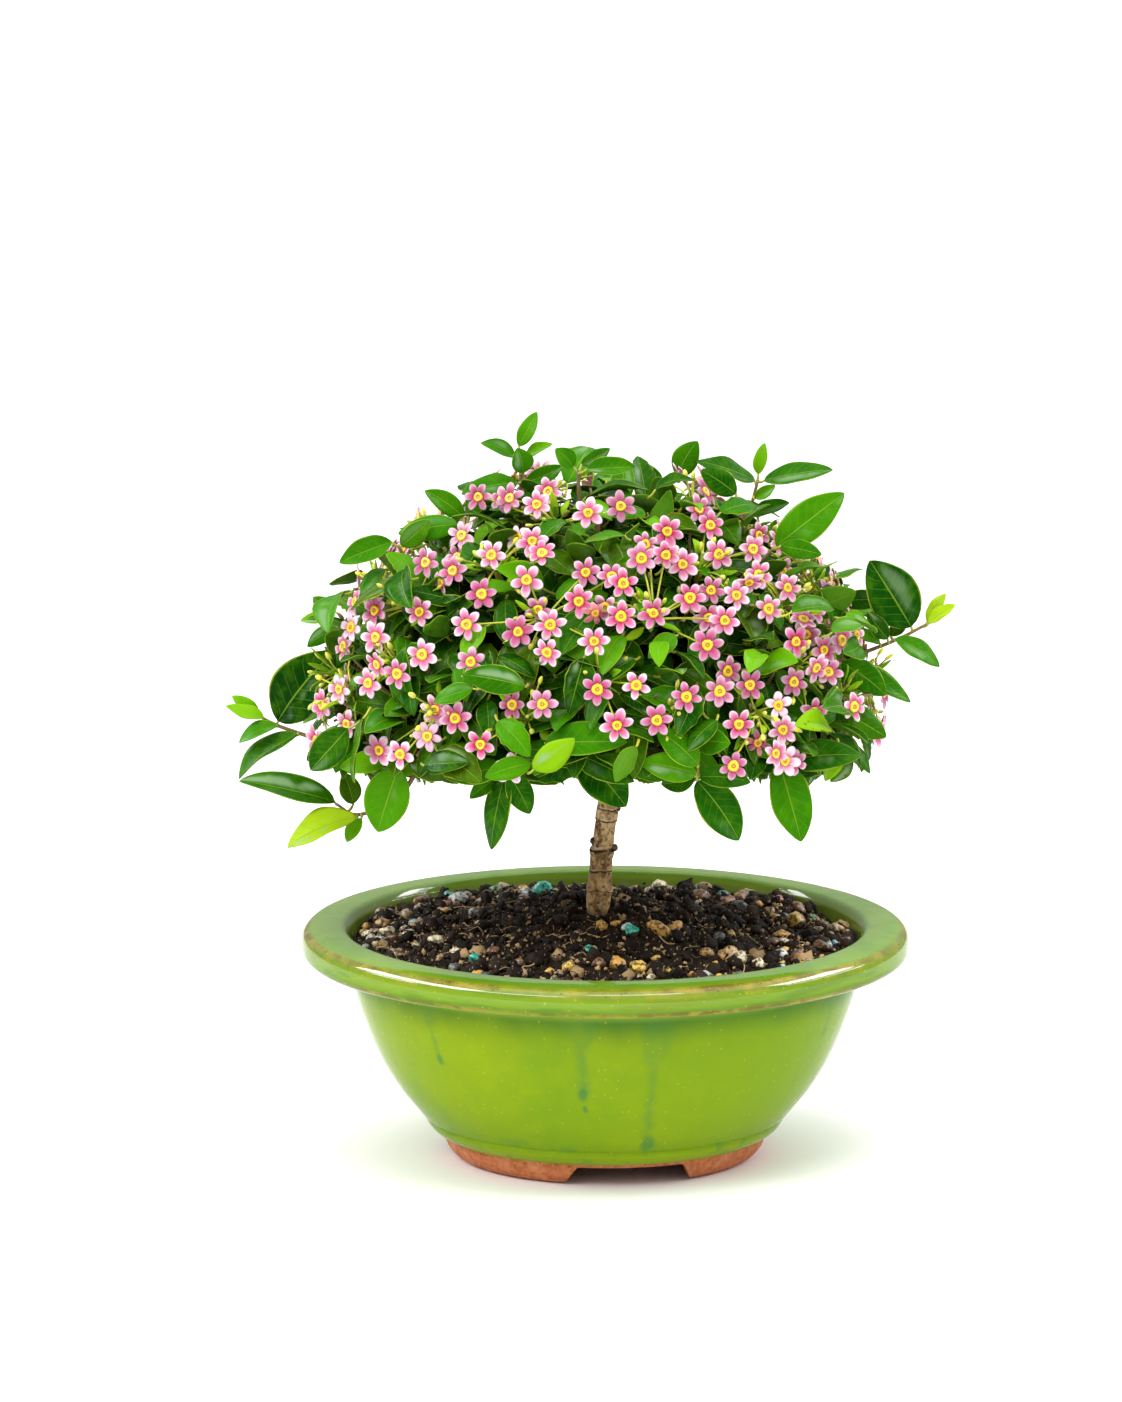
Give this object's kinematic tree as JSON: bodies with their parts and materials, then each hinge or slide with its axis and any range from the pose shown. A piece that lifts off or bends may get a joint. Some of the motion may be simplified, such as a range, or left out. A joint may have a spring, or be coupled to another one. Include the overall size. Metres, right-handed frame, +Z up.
{
  "type": "potted flowering bonsai tree",
  "caption": "Small flowering cherry bonsai with a wide domed crown of glossy leaves and pink star-shaped blooms, growing in soil in a round green glazed pot that stands on its feet.",
  "frame": {"origin": "on the surface the pot's feet stand on, under the middle of the whole plant's bounding box", "axes": "+Z up along the trunk, -Y towards the front, +X to the front viewer's right"},
  "size_m": [0.1964, 0.1642, 0.2034],
  "materials": {
    "green_glaze": "gloss",
    "potting_soil": "rough",
    "bark": "rough",
    "leaf": "satin",
    "petal": "matt"
  },
  "bodies": {
    "root": {"pot": "green_glaze", "soil": "potting_soil", "trunk": "bark", "spray_low_1": "leaf", "spray_low_2": "leaf", "spray_low_3": "leaf", "spray_low_4": "leaf", "spray_low_5": "leaf", "spray_low_6": "leaf", "spray_low_7": "leaf", "spray_mid_1": "leaf", "spray_mid_2": "leaf", "spray_mid_3": "leaf", "spray_mid_4": "leaf", "spray_mid_5": "leaf", "spray_top": "leaf", "umbel_low_1_a": "petal", "umbel_low_1_b": "petal", "umbel_low_1_c": "petal", "umbel_low_2_a": "petal", "umbel_low_2_b": "petal", "umbel_low_2_c": "petal", "umbel_low_3_a": "petal", "umbel_low_3_b": "petal", "umbel_low_3_c": "petal", "umbel_low_4_a": "petal", "umbel_low_4_b": "petal", "umbel_low_4_c": "petal", "umbel_low_5_a": "petal", "umbel_low_5_b": "petal", "umbel_low_5_c": "petal", "umbel_low_6_a": "petal", "umbel_low_6_b": "petal", "umbel_low_6_c": "petal", "umbel_low_7_a": "petal", "umbel_low_7_b": "petal", "umbel_low_7_c": "petal", "umbel_mid_1_a": "petal", "umbel_mid_1_b": "petal", "umbel_mid_1_c": "petal", "umbel_mid_2_a": "petal", "umbel_mid_2_b": "petal", "umbel_mid_2_c": "petal", "umbel_mid_3_a": "petal", "umbel_mid_3_b": "petal", "umbel_mid_3_c": "petal", "umbel_mid_4_a": "petal", "umbel_mid_4_b": "petal", "umbel_mid_4_c": "petal", "umbel_mid_5_a": "petal", "umbel_mid_5_b": "petal", "umbel_mid_5_c": "petal", "umbel_top_a": "petal", "umbel_top_b": "petal", "umbel_top_c": "petal"}
  },
  "joints": []
}
